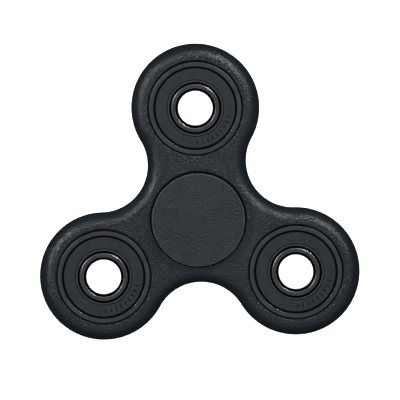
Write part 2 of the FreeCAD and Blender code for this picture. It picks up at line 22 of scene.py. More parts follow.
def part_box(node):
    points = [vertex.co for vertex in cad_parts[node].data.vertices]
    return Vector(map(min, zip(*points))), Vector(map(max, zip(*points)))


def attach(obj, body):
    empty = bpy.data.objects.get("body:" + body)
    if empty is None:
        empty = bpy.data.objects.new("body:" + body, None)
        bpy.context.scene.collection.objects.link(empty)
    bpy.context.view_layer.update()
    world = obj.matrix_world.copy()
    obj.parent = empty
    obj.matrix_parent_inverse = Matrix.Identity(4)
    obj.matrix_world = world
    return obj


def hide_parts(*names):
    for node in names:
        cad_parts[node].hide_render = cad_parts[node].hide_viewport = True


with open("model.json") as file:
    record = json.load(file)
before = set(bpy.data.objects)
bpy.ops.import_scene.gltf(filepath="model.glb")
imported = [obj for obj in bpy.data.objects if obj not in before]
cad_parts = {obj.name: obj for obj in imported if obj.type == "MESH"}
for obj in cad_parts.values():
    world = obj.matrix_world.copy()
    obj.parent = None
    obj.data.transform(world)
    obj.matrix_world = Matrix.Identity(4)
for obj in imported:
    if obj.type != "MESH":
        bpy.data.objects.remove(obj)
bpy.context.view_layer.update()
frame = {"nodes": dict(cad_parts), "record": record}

LOG = logging.getLogger("hand_spinner")
MM = 0.001
HINT = "surface_direction"
FACET = "facet"


class Side(Enum):
    """The face of a bearing that a seal or shield closes."""

    UPPER = "upper"
    LOWER = "lower"

    @property
    def turn(self) -> Matrix:
        """The turn that brings a piece drawn for the upper face to this face."""
        return Matrix.Rotation(math.pi if self is Side.LOWER else 0.0, 4, "X")


class Station(Enum):
    """Where a bearing sits in the body."""

    CENTRE = "centre"
    ARM_1 = "arm_1"
    ARM_2 = "arm_2"
    ARM_3 = "arm_3"

    @property
    def middle(self) -> Vector:
        """The middle of the bearing, from the box of its outer ring."""
        low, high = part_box(f"{self.value}_outer_ring")
        return (low + high) / 2


ARMS = (Station.ARM_1, Station.ARM_2, Station.ARM_3)


# --- Outlines and meshes -------------------------------------------------------------------------


@dataclass(frozen=True)
class Corner:
    """A corner of a turned outline: its distance from the axis, its height and its rounding."""

    radius: float
    height: float
    rounding: float = 0.03 * MM


@dataclass(frozen=True)
class Rim:
    """A point of an outline, with the outward direction of the surface there."""

    radius: float
    height: float
    out: float
    up: float


def run_direction(start: Corner, end: Corner) -> Vector:
    """The unit direction from one corner to the next.

    Args:
        start: the corner that the run leaves.
        end: the corner that the run reaches.

    Returns:
        A 2-D vector of radius and height.
    """
    return Vector((end.radius - start.radius, end.height - start.height)).normalized()


def round_corner(before: Vector, after: Vector, corner: Corner, room: float) -> list[Rim]:
    """Rounds one corner of an outline that runs clockwise, with its solid on the right.

    Args:
        before: direction of the run that reaches the corner.
        after: direction of the run that leaves it.
        corner: the corner.
        room: the longest tangent that its two runs allow.

    Returns:
        The points of the arc from one run to the other.
    """
    bend = before.angle_signed(after, 0.0)
    if abs(bend) < 1e-5 or corner.rounding == 0.0:
        middle = (before + after).normalized()
        return [Rim(corner.radius, corner.height, -middle.y, middle.x)]
    tangent = min(corner.rounding * math.tan(abs(bend) / 2), room)
    rounding = tangent / math.tan(abs(bend) / 2)
    steps = max(2, math.ceil(abs(bend) / math.radians(15 if rounding > 0.2 * MM else 31)))
    start = Vector((corner.radius, corner.height)) - before * tangent
    clockwise = bend > 0
    toward = -1.0 if clockwise else 1.0
    centre = start + Vector((-before.y, before.x)) * rounding * toward
    points = []
    for step in range(steps + 1):
        turn = -bend * step / steps
        heading = Vector(
            (
                before.x * math.cos(turn) - before.y * math.sin(turn),
                before.x * math.sin(turn) + before.y * math.cos(turn),
            )
        )
        normal = Vector((-heading.y, heading.x))
        place = centre - normal * rounding * toward
        points.append(Rim(place.x, place.y, normal.x, normal.y))
    return points


def rounded(corners: Sequence[Corner], closed: bool = True) -> list[Rim]:
    """Rounds every corner of an outline, and keeps the ends of an open one sharp.

    Args:
        corners: the outline, clockwise with the radius to the right and the height upwards.
        closed: whether the last corner joins the first.

    Returns:
        The outline's points with their surface directions.
    """
    count = len(corners)
    points: list[Rim] = []
    for i, corner in enumerate(corners):
        last, following = corners[i - 1], corners[(i + 1) % count]
        if not closed and i in (0, count - 1):
            run = run_direction(corner, following) if i == 0 else run_direction(last, corner)
            points.append(Rim(corner.radius, corner.height, -run.y, run.x))
            continue
        lengths = (
            math.hypot(corner.radius - last.radius, corner.height - last.height),
            math.hypot(corner.radius - following.radius, corner.height - following.height),
        )
        points += round_corner(
            run_direction(last, corner), run_direction(corner, following), corner, min(lengths) * 0.48
        )
    return points


def mirrored(corners: Sequence[Corner]) -> list[Corner]:
    """The same corners below the middle plane, in the order that carries the outline on."""
    return [Corner(c.radius, -c.height, c.rounding) for c in reversed(corners)]


def raceway(centre_radius: float, round_radius: float, shoulder: float, steps: int = 12) -> list[Rim]:
    """The hollow of a raceway, from one edge of its shoulder to the other.

    Args:
        centre_radius: distance of the hollow's centre from the axis.
        round_radius: radius of the hollow.
        shoulder: radius of the shoulder that the hollow is cut into.
        steps: straight pieces along the hollow.

    Returns:
        Points in clockwise order: upwards on an outer ring and downwards on an inner ring.
    """
    reach = math.acos((shoulder - centre_radius) / round_radius)
    outer_ring = shoulder > centre_radius
    start = -reach if outer_ring else reach
    end = reach if outer_ring else 2 * math.pi - reach
    points = []
    for step in range(steps + 1):
        angle = start + (end - start) * step / steps
        radial, axial = math.cos(angle), math.sin(angle)
        points.append(
            Rim(centre_radius + round_radius * radial, round_radius * axial, -radial, -axial)
        )
    return points


def even_angles(count: int) -> list[float]:
    """Angles of a full circle in equal steps."""
    return [2 * math.pi * i / count for i in range(count)]


def new_mesh() -> bmesh.types.BMesh:
    """An empty mesh whose vertices carry a surface direction and whose faces can be facets."""
    mesh = bmesh.new()
    mesh.verts.layers.float_vector.new(HINT)
    mesh.faces.layers.int.new(FACET)
    return mesh


def add_point(mesh: bmesh.types.BMesh, place: Vector, direction: Vector) -> bmesh.types.BMVert:
    """Adds a vertex.

    Args:
        mesh: the mesh that gets it.
        place: where it is.
        direction: the outward direction of the surface there.

    Returns:
        The vertex.
    """
    vertex = mesh.verts.new(place)
    vertex[mesh.verts.layers.float_vector[HINT]] = direction
    return vertex


def turned(
    outline: Sequence[Rim], closed: bool = True, angles: Sequence[float] = ()
) -> bmesh.types.BMesh:
    """Turns an outline round the Z axis.

    Args:
        outline: clockwise points. An open outline starts and ends on the axis.
        closed: whether the last point joins the first.
        angles: where the outline is repeated, rising through one full circle.

    Returns:
        The mesh, closed all over.
    """
    mesh = new_mesh()
    angles = angles or even_angles(160)
    columns: list[list[bmesh.types.BMVert]] = []
    poles = {
        i: add_point(mesh, Vector((0, 0, rim.height)), Vector((0, 0, rim.up)))
        for i, rim in enumerate(outline)
        if rim.radius == 0.0
    }
    for angle in angles:
        across = Vector((math.cos(angle), math.sin(angle), 0))
        column = [
            poles.get(i)
            or add_point(
                mesh,
                across * rim.radius + Vector((0, 0, rim.height)),
                across * rim.out + Vector((0, 0, rim.up)),
            )
            for i, rim in enumerate(outline)
        ]
        columns.append(column)
    runs = len(outline) if closed else len(outline) - 1
    for j, column in enumerate(columns):
        following = columns[(j + 1) % len(columns)]
        for i in range(runs):
            k = (i + 1) % len(outline)
            corners = [column[i], column[k], following[k], following[i]]
            mesh.faces.new(list(dict.fromkeys(corners)))
    return mesh


def finished(mesh: bmesh.types.BMesh, name: str, place: Vector, turn: Matrix) -> bpy.types.Object:
    """Makes an object of a mesh and gives it the surface directions that its vertices carry.

    Args:
        mesh: the mesh, in the piece's own frame. It is freed.
        name: the object's name.
        place: where the piece's own origin goes.
        turn: the turn of the piece about its own origin.

    Returns:
        The object, linked to the scene.
    """
    mesh.verts.index_update()
    layer = mesh.verts.layers.float_vector[HINT]
    facet = mesh.faces.layers.int[FACET]
    hints = [Vector(vertex[layer]) for vertex in mesh.verts]
    facets = [face[facet] for face in mesh.faces]
    data = bpy.data.meshes.new(name)
    mesh.to_mesh(data)
    mesh.free()
    data.shade_smooth()
    directions = [Vector((0, 0, 0))] * len(data.loops)
    for polygon in data.polygons:
        for loop in polygon.loop_indices:
            hint = hints[data.loops[loop].vertex_index]
            keeps = not facets[polygon.index] and hint.length > 0.5
            directions[loop] = hint.normalized() if keeps else polygon.normal.copy()
    data.normals_split_custom_set(directions)
    for leftover in (HINT, FACET):
        data.attributes.remove(data.attributes[leftover])
    piece = bpy.data.objects.new(name, data)
    bpy.context.scene.collection.objects.link(piece)
    piece.matrix_world = Matrix.Translation(place) @ turn
    return piece


# --- Finishes ------------------------------------------------------------------------------------


class Bench:
    """A material's node tree, with short calls for the nodes that the finishes share."""

    def __init__(self, name: str) -> None:
        """Starts a material that has one principled surface."""
        self.material = bpy.data.materials.new(name)
        self.material.use_nodes = True
        self.tree = self.material.node_tree
        self.surface = next(n for n in self.tree.nodes if n.type == "BSDF_PRINCIPLED")
        self.coords = self.tree.nodes.new("ShaderNodeTexCoord")

    def link(self, source: bpy.types.NodeSocket, target: bpy.types.NodeSocket) -> None:
        """Joins two sockets."""
        self.tree.links.new(source, target)

    def feed(self, target: bpy.types.NodeSocket, value: object) -> None:
        """Sets a socket to a number, a colour or another node's output."""
        if isinstance(value, bpy.types.NodeSocket):
            self.link(value, target)
        elif hasattr(target.default_value, "__len__") and isinstance(value, (int, float)):
            target.default_value = [value] * len(target.default_value)
        elif hasattr(target.default_value, "__len__") and len(target.default_value) == 4:
            target.default_value = (*tuple(value)[:3], 1.0)
        else:
            target.default_value = value

    def math(self, operation: str, *values: object, clamp: bool = False) -> bpy.types.NodeSocket:
        """A sum, product or other arithmetic of numbers and sockets.

        Args:
            operation: the arithmetic's name in Blender.
            values: its inputs in order.
            clamp: whether the result is kept between 0 and 1.

        Returns:
            The socket that holds the result.
        """
        node = self.tree.nodes.new("ShaderNodeMath")
        node.operation = operation
        node.use_clamp = clamp
        for target, value in zip(node.inputs, values):
            self.feed(target, value)
        return node.outputs[0]

    def noise(
        self, vector: bpy.types.NodeSocket, size: float, detail: float = 2.0
    ) -> bpy.types.NodeSocket:
        """Soft noise.

        Args:
            vector: the coordinates it is read at.
            size: the width of its largest blots, in metres.
            detail: how many finer layers it has.

        Returns:
            A value about 0.5.
        """
        node = self.tree.nodes.new("ShaderNodeTexNoise")
        self.link(vector, node.inputs["Vector"])
        node.inputs["Scale"].default_value = 1.0 / size
        node.inputs["Detail"].default_value = detail
        node.inputs["Roughness"].default_value = 0.55
        return node.outputs["Fac"]

    def pits(self, vector: bpy.types.NodeSocket, size: float) -> bpy.types.NodeSocket:
        """Rounded cells, like the craters of a spark-eroded mould. Size is a cell's width."""
        node = self.tree.nodes.new("ShaderNodeTexVoronoi")
        node.feature = "SMOOTH_F1"
        self.link(vector, node.inputs["Vector"])
        node.inputs["Scale"].default_value = 1.0 / size
        node.inputs["Smoothness"].default_value = 0.6
        return node.outputs["Distance"]

    def ranged(
        self, value: bpy.types.NodeSocket, low: float, high: float, new_low: float, new_high: float
    ) -> bpy.types.NodeSocket:
        """Maps the stretch from low to high onto the one from new_low to new_high, and stays in it."""
        node = self.tree.nodes.new("ShaderNodeMapRange")
        self.link(value, node.inputs["Value"])
        for name, number in zip(
            ("From Min", "From Max", "To Min", "To Max"), (low, high, new_low, new_high)
        ):
            node.inputs[name].default_value = number
        return node.outputs["Result"]

    def blended(
        self, share: bpy.types.NodeSocket, first: object, second: object
    ) -> bpy.types.NodeSocket:
        """A colour between two others.

        Args:
            share: 0 gives the first and 1 gives the second.
            first: a colour or a socket.
            second: a colour or a socket.

        Returns:
            The socket that holds the colour.
        """
        node = self.tree.nodes.new("ShaderNodeMix")
        node.data_type = "RGBA"
        self.feed(node.inputs["Factor"], share)
        self.feed(node.inputs[6], first)
        self.feed(node.inputs[7], second)
        return node.outputs[2]

    def rings(self, streak: float) -> bpy.types.NodeSocket:
        """Coordinates that stretch a texture round the piece's own Z axis.

        Args:
            streak: how much of the place round the axis is kept, so that streaks begin and end.

        Returns:
            A vector of distance from the axis, height and a little of the place.
        """
        parts = self.tree.nodes.new("ShaderNodeSeparateXYZ")
        self.link(self.coords.outputs["Object"], parts.inputs[0])
        x, y, z = parts.outputs
        joined = self.tree.nodes.new("ShaderNodeCombineXYZ")
        self.link(self.math("ADD", self.distance(), z), joined.inputs[0])
        self.link(self.math("MULTIPLY", x, streak), joined.inputs[1])
        self.link(self.math("MULTIPLY", y, streak), joined.inputs[2])
        return joined.outputs[0]

    def split(self, output: str) -> tuple[bpy.types.NodeSocket, ...]:
        """The three parts of one of the texture coordinates."""
        parts = self.tree.nodes.new("ShaderNodeSeparateXYZ")
        self.link(self.coords.outputs[output], parts.inputs[0])
        return tuple(parts.outputs)

    def distance(self) -> bpy.types.NodeSocket:
        """How far a point is from the piece's own Z axis."""
        x, y, _ = self.split("Object")
        squares = self.math("MULTIPLY", x, x), self.math("MULTIPLY", y, y)
        return self.math("SQRT", self.math("ADD", *squares))

    def height(self) -> bpy.types.NodeSocket:
        """How high a point is along the piece's own Z axis."""
        return self.split("Object")[2]

    def tilt(self) -> bpy.types.NodeSocket:
        """How far the surface turns from the flat faces: 0 on a face and 1 on an upright side."""
        return self.math("SUBTRACT", 1.0, self.math("ABSOLUTE", self.split("Normal")[2]))

    def edge_highlight_band(self) -> bpy.types.NodeSocket:
        """Where a rounded edge begins to turn from a flat face: the band that the finishes make lighter, a
        painted highlight that also stands for handling wear.
        """
        tilt = self.tilt()
        return self.math(
            "MULTIPLY", self.ranged(tilt, 0.004, 0.04, 0.0, 1.0), self.ranged(tilt, 0.3, 0.65, 1.0, 0.0)
        )

    def relief(self, *layers: tuple[bpy.types.NodeSocket, float]) -> None:
        """Adds bumps to the surface, each layer a height between 0 and 1 and its depth in metres."""
        normal = None
        for height, depth in layers:
            node = self.tree.nodes.new("ShaderNodeBump")
            node.inputs["Strength"].default_value = 1.0
            node.inputs["Distance"].default_value = depth
            self.link(height, node.inputs["Height"])
            if normal is not None:
                self.link(normal, node.inputs["Normal"])
            normal = node.outputs[0]
        self.link(normal, self.surface.inputs["Normal"])

    def set(self, **values: object) -> None:
        """Sets sockets of the surface. An underscore in a name stands for a space."""
        for name, value in values.items():
            self.feed(self.surface.inputs[name.replace("_", " ")], value)


@dataclass(frozen=True)
class MouldedPlastic:
    """Black plastic from a spark-eroded mould, smoother where handling wears its edges, and paler where a
    rounded edge begins, a painted highlight that partly is wear.
    """

    name: str
    colour: tuple[float, float, float]
    sheen_colour: tuple[float, float, float]
    roughness: float = 0.22
    spread: float = 0.025
    grain: float = 0.45 * MM
    depth: float = 0.085 * MM
    rub: float = 0.05
    # Colour of the band where a rounded edge begins: painted highlight and wear.
    edge_highlight_and_wear: tuple[float, float, float] = (0.016, 0.022, 0.028)

    def material(self) -> bpy.types.Material:
        """Builds the material."""
        bench = Bench(self.name)
        place = bench.coords.outputs["Object"]
        clouds = bench.noise(place, 9.0 * MM, 3.0)
        grain = bench.noise(place, self.grain, 3.0)
        pits = bench.pits(place, self.grain * 0.7)
        share = bench.math("ADD", bench.math("MULTIPLY", clouds, 0.3), bench.math("MULTIPLY", grain, 0.7))
        colour = bench.blended(bench.ranged(share, 0.4, 0.6, 0.0, 1.0), self.colour, self.sheen_colour)
        edge = bench.ranged(bench.tilt(), 0.03, 0.4, 0.0, 1.0)
        patches = bench.ranged(bench.noise(place, 2.5 * MM, 4.0), 0.4, 0.62, 0.0, 1.0)
        worn = bench.math("MULTIPLY", edge, patches)
        rough = bench.ranged(clouds, 0.3, 0.7, self.roughness - self.spread, self.roughness + self.spread)
        bench.set(
            # Painted highlight: the first band of each rounded edge takes the lighter colour, which also
            # stands for wear.
            Base_Color=bench.blended(bench.edge_highlight_band(), colour, self.edge_highlight_and_wear),
            Roughness=bench.math("SUBTRACT", rough, bench.math("MULTIPLY", worn, self.rub)),
            Specular_IOR_Level=0.5,
        )
        bench.relief((pits, self.depth), (grain, self.depth))
        return bench.material


@dataclass(frozen=True)
class SealRubber:
    """Matt moulded rubber with faint turned rings and a little dust, painted near-black shade on all that
    lies low, and a painted highlight on the bead.
    """

    name: str
    colour: tuple[float, float, float]
    dust: tuple[float, float, float]
    roughness: float = 0.6
    ring_width: float = 0.18 * MM
    ring_depth: float = 0.004 * MM
    grain: float = 0.3 * MM
    grain_depth: float = 0.03 * MM
    # Painted shade that darkens the seal's hollows: its colour and roughness.
    hollow_shade: tuple[float, float, float] = (0.006, 0.007, 0.009)
    hollow_shade_roughness: float = 0.4
    # Painted highlight on the bead: its colour, and the height above which it lies.
    bead_highlight: tuple[float, float, float] = (0.034, 0.04, 0.044)
    bead_highlight_level: float = 3.27 * MM
    # Height below which the painted shade lies, and the width of its fade.
    hollow_shade_level: float = 3.14 * MM
    hollow_shade_edge: float = 0.07 * MM

    def material(self) -> bpy.types.Material:
        """Builds the material."""
        bench = Bench(self.name)
        place = bench.coords.outputs["Object"]
        grain = bench.noise(place, self.grain, 3.0)
        rings = bench.noise(bench.rings(0.02), self.ring_width, 1.0)
        clouds = bench.noise(place, 3.0 * MM, 3.0)
        specks = bench.ranged(bench.noise(place, 0.5 * MM, 4.0), 0.6, 0.74, 0.0, 0.7)
        mottle = bench.math("MULTIPLY", bench.math("ADD", clouds, grain), 0.5)
        share = bench.math("MAXIMUM", specks, bench.ranged(mottle, 0.4, 0.62, 0.0, 0.8))
        # Painted shade: everything below this height (grooves, furrow, ticks) is turned near-black.
        hollow_shade = bench.ranged(bench.height(), self.hollow_shade_level, self.hollow_shade_level + self.hollow_shade_edge, 1.0, 0.0)
        rough = bench.ranged(clouds, 0.3, 0.7, self.roughness - 0.06, self.roughness + 0.06)
        rough_outside_shade = bench.math("MULTIPLY", rough, bench.math("SUBTRACT", 1.0, hollow_shade))
        # Painted highlight: the top of the bead is turned lighter.
        bead_highlight = bench.ranged(bench.height(), self.bead_highlight_level, self.bead_highlight_level + 0.02 * MM, 0.0, 1.0)
        rubber = bench.blended(bead_highlight, bench.blended(share, self.colour, self.dust), self.bead_highlight)
        # Where the painted shade lies, the rubber becomes a near-black metal, which paints out its
        # reflections.
        bench.set(
            Base_Color=bench.blended(hollow_shade, rubber, self.hollow_shade),
            Metallic=hollow_shade,
            Roughness=bench.math("ADD", rough_outside_shade, bench.math("MULTIPLY", hollow_shade, self.hollow_shade_roughness)),
            Specular_IOR_Level=0.5,
        )
        bench.relief((rings, self.ring_depth), (grain, self.grain_depth))
        return bench.material


@dataclass(frozen=True)
class TurnedSteel:
    """Ground or turned steel with fine marks round its axis and a few handling marks."""

    name: str
    colour: tuple[float, float, float]
    streak_colour: tuple[float, float, float]
    roughness: float = 0.26
    mark_width: float = 0.06 * MM
    mark_depth: float = 0.0016 * MM

    def worn_marks(
        self, bench: Bench
    ) -> tuple[bpy.types.NodeSocket, bpy.types.NodeSocket, bpy.types.NodeSocket]:
        """Draws the turning marks, stains and nicks.

        Args:
            bench: the material that gets them.

        Returns:
            The height of the marks, the share of the streaks' colour, and the roughness.
        """
        place = bench.coords.outputs["Object"]
        marks = bench.noise(bench.rings(0.03), self.mark_width, 3.0)
        stains = bench.noise(place, 2.2 * MM, 4.0)
        nicks = bench.ranged(bench.noise(place, 0.35 * MM, 5.0), 0.62, 0.7, 0.0, 1.0)
        share = bench.math("MULTIPLY", bench.math("ADD", marks, stains), 0.5)
        rough = bench.ranged(stains, 0.3, 0.7, self.roughness - 0.05, self.roughness + 0.07)
        return (
            bench.math("SUBTRACT", marks, nicks),
            bench.ranged(share, 0.35, 0.65, 0.0, 1.0),
            bench.math("ADD", rough, bench.math("MULTIPLY", nicks, 0.08)),
        )

    def material(self) -> bpy.types.Material:
        """Builds the material."""
        bench = Bench(self.name)
        marks, share, rough = self.worn_marks(bench)
        bench.set(
            Base_Color=bench.blended(share, self.colour, self.streak_colour),
            Metallic=1.0,
            Roughness=rough,
        )
        bench.relief((marks, self.mark_depth))
        return bench.material


@dataclass(frozen=True)
class BlackRingSteel(TurnedSteel):
    """Black-oxided ring steel: bare in the bore, lighter where a rounded edge begins as a painted
    highlight, and with painted near-black shade on the bore chamfer and past the outer corner.
    """

    bore: float = 4.05 * MM
    bore_roughness: float = 0.08
    bore_chamfer: float = 4.7 * MM
    # Radius past which the outer ring's corner takes the painted shade.
    corner: float = 10.72 * MM
    fade: float = 0.05 * MM
    # Near-black colour of the painted shade.
    crevice_shade: tuple[float, float, float] = (0.006, 0.006, 0.007)
    # Colour of the bare bore, and of the painted highlight on rounded edges.
    bare_steel_and_highlight: tuple[float, float, float] = (0.22, 0.222, 0.23)

    def material(self) -> bpy.types.Material:
        """Builds the material."""
        bench = Bench(self.name)
        marks, share, rough = self.worn_marks(bench)
        away = bench.distance()
        bore = bench.ranged(away, self.bore, self.bore + self.fade, 1.0, 0.0)
        # Inside the bore chamfer: smoother, and, leaving out the bore, in painted shade.
        inside = bench.ranged(away, self.bore_chamfer - self.fade, self.bore_chamfer, 1.0, 0.0)
        outer_corner_shade = bench.ranged(away, self.corner, self.corner + self.fade, 0.0, 1.0)
        # Painted highlight on the rounded edges, together with the real bare bore.
        bare_and_edge_highlight = bench.math("MAXIMUM", bench.edge_highlight_band(), bore)
        # Painted shade: the bore chamfer and the outer corner are turned near-black.
        crevice_shade = bench.math("MAXIMUM", bench.math("SUBTRACT", inside, bore), outer_corner_shade)
        colour = bench.blended(bare_and_edge_highlight, bench.blended(share, self.colour, self.streak_colour), self.bare_steel_and_highlight)
        smooth = bench.math("MULTIPLY", inside, self.bore_roughness)
        rest = bench.math("MULTIPLY", rough, bench.math("SUBTRACT", 1.0, inside))
        bench.set(
            Base_Color=bench.blended(crevice_shade, colour, self.crevice_shade),
            Metallic=1.0,
            Roughness=bench.math("ADD", smooth, rest),
        )
        bench.relief((marks, self.mark_depth))
        return bench.material


@dataclass(frozen=True)
class CageNylon:
    """Natural nylon, slightly see-through, with a fine moulded grain."""

    name: str
    colour: tuple[float, float, float]
    grease: tuple[float, float, float]

    def material(self) -> bpy.types.Material:
        """Builds the material."""
        bench = Bench(self.name)
        place = bench.coords.outputs["Object"]
        smears = bench.ranged(bench.noise(place, 1.6 * MM, 4.0), 0.42, 0.66, 0.0, 0.8)
        grain = bench.noise(place, 0.12 * MM, 2.0)
        bench.set(
            Base_Color=bench.blended(smears, self.colour, self.grease),
            Roughness=bench.ranged(smears, 0.0, 0.8, 0.5, 0.24),
            Subsurface_Weight=0.15,
            Subsurface_Scale=0.6 * MM,
        )
        bench.relief((grain, 0.006 * MM))
        return bench.material


class Finishes:
    """Every finish of the spinner, by the record's material slot."""

    def __init__(self) -> None:
        """Builds the materials once, so that pieces share them."""
        self.by_slot = {
            "body_plastic": MouldedPlastic(
                "black_body_plastic", (0.001, 0.0055, 0.0105), (0.016, 0.0205, 0.026)
            ).material(),
            "cap_plastic": MouldedPlastic(
                "black_cap_plastic",
                (0.003, 0.007, 0.0115),
                (0.013, 0.0175, 0.0235),
                0.3,
                depth=0.115 * MM,
                rub=0.13,
                # Much lighter colour on the cap's rounded edge: a painted rim highlight, partly wear.
                edge_highlight_and_wear=(0.13, 0.138, 0.148),
            ).material(),
            "seal_rubber": SealRubber(
                "black_seal_rubber", (0.001, 0.007, 0.0125), (0.026, 0.032, 0.037)
            ).material(),
            "ring_steel": BlackRingSteel(
                "black_oxide_steel", (0.069, 0.07, 0.073), (0.092, 0.093, 0.097), 0.3, mark_depth=0.001 * MM
            ).material(),
            "ball_steel": TurnedSteel(
                "polished_ball_steel", (0.7, 0.7, 0.71), (0.8, 0.8, 0.81), 0.09, 0.05 * MM, 0.0004 * MM
            ).material(),
            "shield_steel": TurnedSteel(
                "pressed_sheet_steel", (0.5, 0.5, 0.49), (0.6, 0.59, 0.58), 0.34
            ).material(),
            "spring_steel": TurnedSteel(
                "drawn_spring_wire", (0.42, 0.41, 0.39), (0.55, 0.54, 0.52), 0.3, 0.04 * MM
            ).material(),
            "cage_nylon": CageNylon(
                "natural_cage_nylon", (0.62, 0.57, 0.46), (0.42, 0.33, 0.17)
            ).material(),
        }

    def dress(self, piece: bpy.types.Object, slot: str) -> None:
        """Gives a piece the finish of a slot, in place of any that it has."""
        piece.data.materials.clear()
        piece.data.materials.append(self.by_slot[slot])


class Assembly:
    """Joins new pieces to the frame and dresses what the frame already holds."""

    def __init__(self, finishes: Finishes) -> None:
        """Reads which body carries each node, and which slot it takes its finish from."""
        record = frame["record"]
        self.finishes = finishes
        self.body_of = {
            node: body for body, nodes in record["behaviour"]["bodies"].items() for node in nodes
        }
        self.slot_of = {part["node"]: part["material_slot"] for part in record["subparts"]}

    def stand_for(self, piece: bpy.types.Object, node: str) -> None:
        """Lets a new piece stand for a CAD node, on the node's body and in its finish."""
        self.finishes.dress(piece, self.slot_of[node])
        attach(piece, self.body_of[node])
        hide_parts(node)
        LOG.info("%s: %d faces, on %s", piece.name, len(piece.data.polygons), self.body_of[node])

    def keep(self, node: str) -> None:
        """Keeps a CAD node's shape and gives it its finish."""
        self.finishes.dress(frame["nodes"][node], self.slot_of[node])
        LOG.info("%s: CAD shape kept, on %s", node, self.body_of[node])


# --- Bearings ------------------------------------------------------------------------------------


@dataclass(frozen=True)
class BearingSizes:
    """Sizes that the four bearings share, from the axis and from the middle plane."""

    bore: float = 4.0 * MM
    outer: float = 11.0 * MM
    half_width: float = 3.5 * MM
    pitch: float = 7.5 * MM
    ball: float = 1.9845 * MM
    play: float = 0.01 * MM
    race_round: float = 2.064 * MM
    shoulder_height: float = 0.51 * MM
    land_step: float = 0.3 * MM
    ledge_width: float = 0.82 * MM
    seat_depth: float = 1.0 * MM
    snap_depth: float = 0.3 * MM
    snap_height: float = 0.5 * MM
    snap_play: float = 0.03 * MM

    @property
    def inner_shoulder(self) -> float:
        """Radius of the inner ring's shoulder."""
        return self.pitch - self.ball - self.play + self.shoulder_height

    @property
    def outer_shoulder(self) -> float:
        """Radius of the outer ring's shoulder."""
        return self.pitch + self.ball + self.play - self.shoulder_height

    @property
    def land(self) -> float:
        """Radius of the inner ring's seal land."""
        return self.inner_shoulder - self.land_step

    @property
    def ledge(self) -> float:
        """Height of the ledge that a seal sits on."""
        return self.half_width - self.seat_depth

    @property
    def seat(self) -> float:
        """Radius of the seal's seat at its mouth."""
        return self.outer_shoulder + self.ledge_width

    @property
    def snap(self) -> float:
        """Radius of the undercut that holds a seal."""
        return self.seat + self.snap_depth


@dataclass(frozen=True)
class OuterRing:
    """A bearing's outer ring, with a raceway and a stepped seat at each face."""

    sizes: BearingSizes
    corner: float = 0.35 * MM
    mouth: float = 0.06 * MM

    def mesh(self) -> bmesh.types.BMesh:
        """Builds the ring in its own frame."""
        s = self.sizes
        upper = [
            Corner(s.outer_shoulder, s.ledge, 0.05 * MM),
            Corner(s.snap, s.ledge, 0.05 * MM),
            Corner(s.snap, s.ledge + s.snap_height, 0.05 * MM),
            Corner(s.seat, s.ledge + s.snap_height, 0.03 * MM),
            Corner(s.seat, s.half_width - self.mouth, 0.05 * MM),
            Corner(s.seat + self.mouth, s.half_width, 0.05 * MM),
            Corner(s.outer, s.half_width, self.corner),
        ]
        floor = s.pitch + s.ball + s.play
        hollow = raceway(floor - s.race_round, s.race_round, s.outer_shoulder)
        start = Corner(hollow[-1].radius, hollow[-1].height)
        end = Corner(hollow[0].radius, hollow[0].height)
        walls = rounded([start, *upper, *mirrored(upper), end], closed=False)
        return turned(walls[:-1] + hollow[:-1])


@dataclass(frozen=True)
class InnerRing:
    """A bearing's inner ring, with a raceway and a stepped land at each end."""

    sizes: BearingSizes
    bore_corner: float = 0.7 * MM
    land_corner: float = 0.32 * MM
    face_rounding: float = 0.35 * MM
    shoulder_inset: float = 1.15 * MM

    def mesh(self) -> bmesh.types.BMesh:
        """Builds the ring in its own frame."""
        s = self.sizes
        shoulder_end = s.half_width - self.shoulder_inset
        upper = [
            Corner(s.bore, s.half_width - self.bore_corner, 0.12 * MM),
            Corner(s.bore + self.bore_corner, s.half_width, self.face_rounding),
            Corner(s.land, s.half_width, self.land_corner),
            Corner(s.land, shoulder_end, 0.08 * MM),
            Corner(s.inner_shoulder, shoulder_end, 0.05 * MM),
        ]
        floor = s.pitch - s.ball - s.play
        hollow = raceway(floor + s.race_round, s.race_round, s.inner_shoulder)
        start = Corner(hollow[-1].radius, hollow[-1].height)
        end = Corner(hollow[0].radius, hollow[0].height)
        walls = rounded([start, *mirrored(upper), *upper, end], closed=False)
        return turned(walls[:-1] + hollow[:-1])


